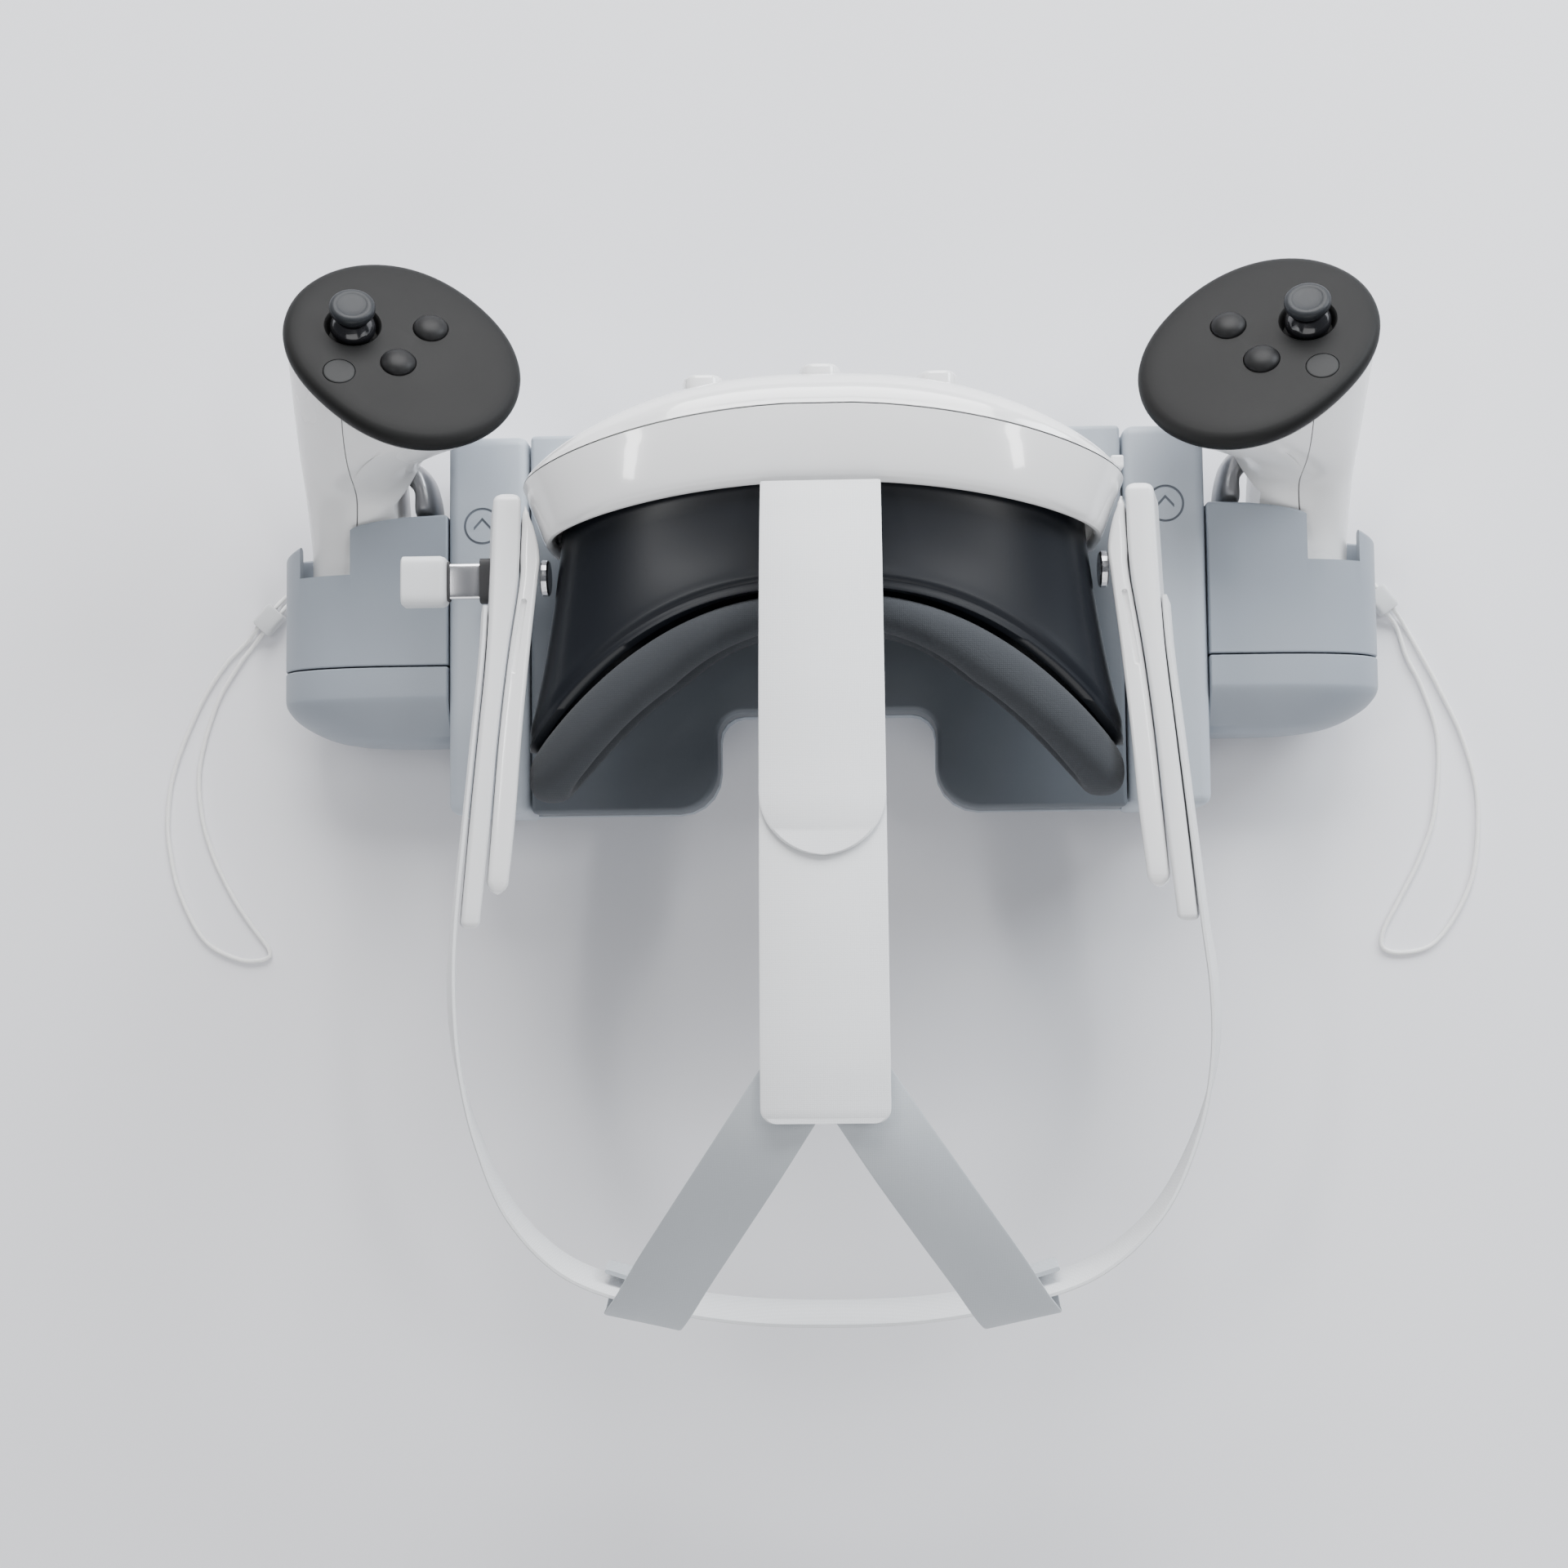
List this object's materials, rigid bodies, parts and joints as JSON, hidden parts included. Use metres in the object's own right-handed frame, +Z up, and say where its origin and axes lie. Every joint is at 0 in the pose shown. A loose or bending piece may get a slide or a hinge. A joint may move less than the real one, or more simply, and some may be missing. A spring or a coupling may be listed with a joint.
{
  "type": "vr headset",
  "caption": "Head-worn display with padded face piece and soft head strap, resting on a charging dock that holds a hand controller in a pod at each side.",
  "frame": {"origin": "on the table, under the middle of the dock", "axes": "+X to the right controller, +Y the way the headset looks, +Z up"},
  "size_m": [0.4571, 0.3389, 0.1754],
  "materials": {
    "dock_grey": "satin",
    "rubber": "matte",
    "board": "satin",
    "white_gloss": "gloss",
    "white_satin": "satin",
    "interface_black": "satin",
    "cushion_grey": "soft",
    "lens": "gloss",
    "battery": "matte",
    "steel": "satin",
    "strap_white": "matte",
    "face_grey": "matte",
    "button_grey": "satin",
    "stick_black": "gloss",
    "cord_white": "matte"
  },
  "bodies": {
    "dock": {"dock_deck": "dock_grey", "dock_underside": "dock_grey", "dock_board": "board", "dock_block_left": "dock_grey", "dock_block_right": "dock_grey", "dock_foot_left": "rubber", "dock_foot_right": "rubber", "pod_left": "dock_grey", "pod_right": "dock_grey", "pod_cap_left": "dock_grey", "pod_cap_right": "dock_grey"},
    "headset": {"visor_shell": "white_gloss", "front_cover": "white_gloss", "camera_pod_left": "white_gloss", "camera_pod_centre": "white_gloss", "camera_pod_right": "white_gloss", "optics_frame": "interface_black", "main_board": "board", "battery_pack": "battery", "arm_pin_left": "steel", "arm_pin_right": "steel"},
    "face_piece": {"facial_interface": "interface_black", "face_cushion": "cushion_grey"},
    "lens_unit_left": {"lens_left": "lens"},
    "lens_unit_right": {"lens_right": "lens"},
    "spacing_wheel": {"ipd_wheel": "interface_black"},
    "power_key": {"power_button": "white_satin"},
    "head_strap": {"arm_left": "white_satin", "arm_right": "white_satin", "speaker_left": "white_gloss", "speaker_right": "white_gloss", "head_band": "strap_white", "top_strap": "strap_white", "rear_strap_left": "strap_white", "rear_strap_right": "strap_white"},
    "plug": {"charge_plug": "white_satin"},
    "controller_left": {"outer_shell_left": "white_satin", "inner_shell_left": "white_satin", "face_plate_left": "face_grey", "wrist_cord_left": "cord_white", "cord_bead_left": "white_satin"},
    "stick_base_left": {"stick_stem_left": "stick_black"},
    "stick_top_left": {"stick_cap_left": "button_grey"},
    "key_a_left": {"button_a_left": "button_grey"},
    "key_b_left": {"button_b_left": "button_grey"},
    "key_menu_left": {"menu_button_left": "button_grey"},
    "trigger_lever_left": {"trigger_left": "stick_black"},
    "grip_key_left": {"grip_button_left": "button_grey"},
    "controller_right": {"outer_shell_right": "white_satin", "inner_shell_right": "white_satin", "face_plate_right": "face_grey", "wrist_cord_right": "cord_white", "cord_bead_right": "white_satin"},
    "stick_base_right": {"stick_stem_right": "stick_black"},
    "stick_top_right": {"stick_cap_right": "button_grey"},
    "key_a_right": {"button_a_right": "button_grey"},
    "key_b_right": {"button_b_right": "button_grey"},
    "key_menu_right": {"menu_button_right": "button_grey"},
    "trigger_lever_right": {"trigger_right": "stick_black"},
    "grip_key_right": {"grip_button_right": "button_grey"}
  },
  "joints": [
    {"name": "headset_lift", "type": "slide", "parent": "dock", "child": "headset", "axis": [0, 0, 1], "range_m": [0, 0.12]},
    {"name": "eye_relief", "type": "slide", "parent": "headset", "child": "face_piece", "axis": [0, -1, 0], "range_m": [0, 0.006]},
    {"name": "wheel_turn", "type": "hinge", "parent": "headset", "child": "spacing_wheel", "pos_m": [-0.0175, 0.0576, 0.0576], "axis": [1, 0, 0], "range_deg": [-60, 60]},
    {"name": "lens_slide_left", "type": "slide", "parent": "headset", "child": "lens_unit_left", "axis": [-1, 0, 0], "range_m": [-0.0025, 0.0025]},
    {"name": "lens_slide_right", "type": "slide", "parent": "headset", "child": "lens_unit_right", "axis": [1, 0, 0], "range_m": [-0.0025, 0.0025]},
    {"name": "power_press", "type": "slide", "parent": "headset", "child": "power_key", "axis": [-1, 0, 0], "range_m": [0, 0.0008], "stiffness_N_per_m": 400, "springref_m": -0.0004},
    {"name": "strap_tilt", "type": "hinge", "parent": "headset", "child": "head_strap", "pos_m": [0, 0.01, 0.097], "axis": [-1, 0, 0], "range_deg": [-4, 10], "deforming": ["top_strap"]},
    {"name": "plug_pull", "type": "slide", "parent": "head_strap", "child": "plug", "axis": [-1, 0, 0], "range_m": [0, 0.012]},
    {"name": "controller_out_left", "type": "slide", "parent": "dock", "child": "controller_left", "axis": [0, 1, 0], "range_m": [0, 0.09]},
    {"name": "stick_sideways_left", "type": "hinge", "parent": "controller_left", "child": "stick_base_left", "pos_m": [-0.15053, 0.09502, 0.07356], "axis": [0, 0.8746, -0.4848], "range_deg": [-18, 18], "stiffness_Nm_per_rad": 0.03},
    {"name": "stick_updown_left", "type": "hinge", "parent": "stick_base_left", "child": "stick_top_left", "pos_m": [-0.15053, 0.09502, 0.07356], "axis": [0.9848, -0.0842, -0.1519], "range_deg": [-18, 18], "stiffness_Nm_per_rad": 0.03},
    {"name": "press_a_left", "type": "slide", "parent": "controller_left", "child": "key_a_left", "axis": [-0.1736, -0.4774, -0.8613], "range_m": [0, 0.001], "stiffness_N_per_m": 300, "springref_m": -0.0005},
    {"name": "press_b_left", "type": "slide", "parent": "controller_left", "child": "key_b_left", "axis": [-0.1736, -0.4774, -0.8613], "range_m": [0, 0.001], "stiffness_N_per_m": 300, "springref_m": -0.0005},
    {"name": "press_menu_left", "type": "slide", "parent": "controller_left", "child": "key_menu_left", "axis": [-0.1736, -0.4774, -0.8613], "range_m": [0, 0.0005], "stiffness_N_per_m": 400, "springref_m": -0.0004},
    {"name": "trigger_pull_left", "type": "hinge", "parent": "controller_left", "child": "trigger_lever_left", "pos_m": [-0.14, 0.056, 0.03], "axis": [0, 0, -1], "range_deg": [0, 8], "stiffness_Nm_per_rad": 0.08, "springref_deg": -3.44},
    {"name": "grip_press_left", "type": "slide", "parent": "controller_left", "child": "grip_key_left", "axis": [-1, 0, 0], "range_m": [0, 0.0015], "stiffness_N_per_m": 300, "springref_m": -0.001},
    {"name": "controller_out_right", "type": "slide", "parent": "dock", "child": "controller_right", "axis": [0, 1, 0], "range_m": [0, 0.09]},
    {"name": "stick_sideways_right", "type": "hinge", "parent": "controller_right", "child": "stick_base_right", "pos_m": [0.15413, 0.09062, 0.07356], "axis": [0, 0.8746, -0.4848], "range_deg": [-18, 18], "stiffness_Nm_per_rad": 0.03},
    {"name": "stick_updown_right", "type": "hinge", "parent": "stick_base_right", "child": "stick_top_right", "pos_m": [0.15413, 0.09062, 0.07356], "axis": [-0.9848, -0.0842, -0.1519], "range_deg": [-18, 18], "stiffness_Nm_per_rad": 0.03},
    {"name": "press_a_right", "type": "slide", "parent": "controller_right", "child": "key_a_right", "axis": [0.1736, -0.4774, -0.8613], "range_m": [0, 0.001], "stiffness_N_per_m": 300, "springref_m": -0.0005},
    {"name": "press_b_right", "type": "slide", "parent": "controller_right", "child": "key_b_right", "axis": [0.1736, -0.4774, -0.8613], "range_m": [0, 0.001], "stiffness_N_per_m": 300, "springref_m": -0.0005},
    {"name": "press_menu_right", "type": "slide", "parent": "controller_right", "child": "key_menu_right", "axis": [0.1736, -0.4774, -0.8613], "range_m": [0, 0.0005], "stiffness_N_per_m": 400, "springref_m": -0.0004},
    {"name": "trigger_pull_right", "type": "hinge", "parent": "controller_right", "child": "trigger_lever_right", "pos_m": [0.14, 0.056, 0.03], "axis": [0, 0, 1], "range_deg": [0, 8], "stiffness_Nm_per_rad": 0.08, "springref_deg": -3.44},
    {"name": "grip_press_right", "type": "slide", "parent": "controller_right", "child": "grip_key_right", "axis": [1, 0, 0], "range_m": [0, 0.0015], "stiffness_N_per_m": 300, "springref_m": -0.001}
  ],
  "couplings": [
    {"joint": "wheel_turn", "follows": "lens_slide_left", "rad_per_m": 418.87},
    {"joint": "lens_slide_right", "follows": "lens_slide_left", "ratio": 1}
  ]
}
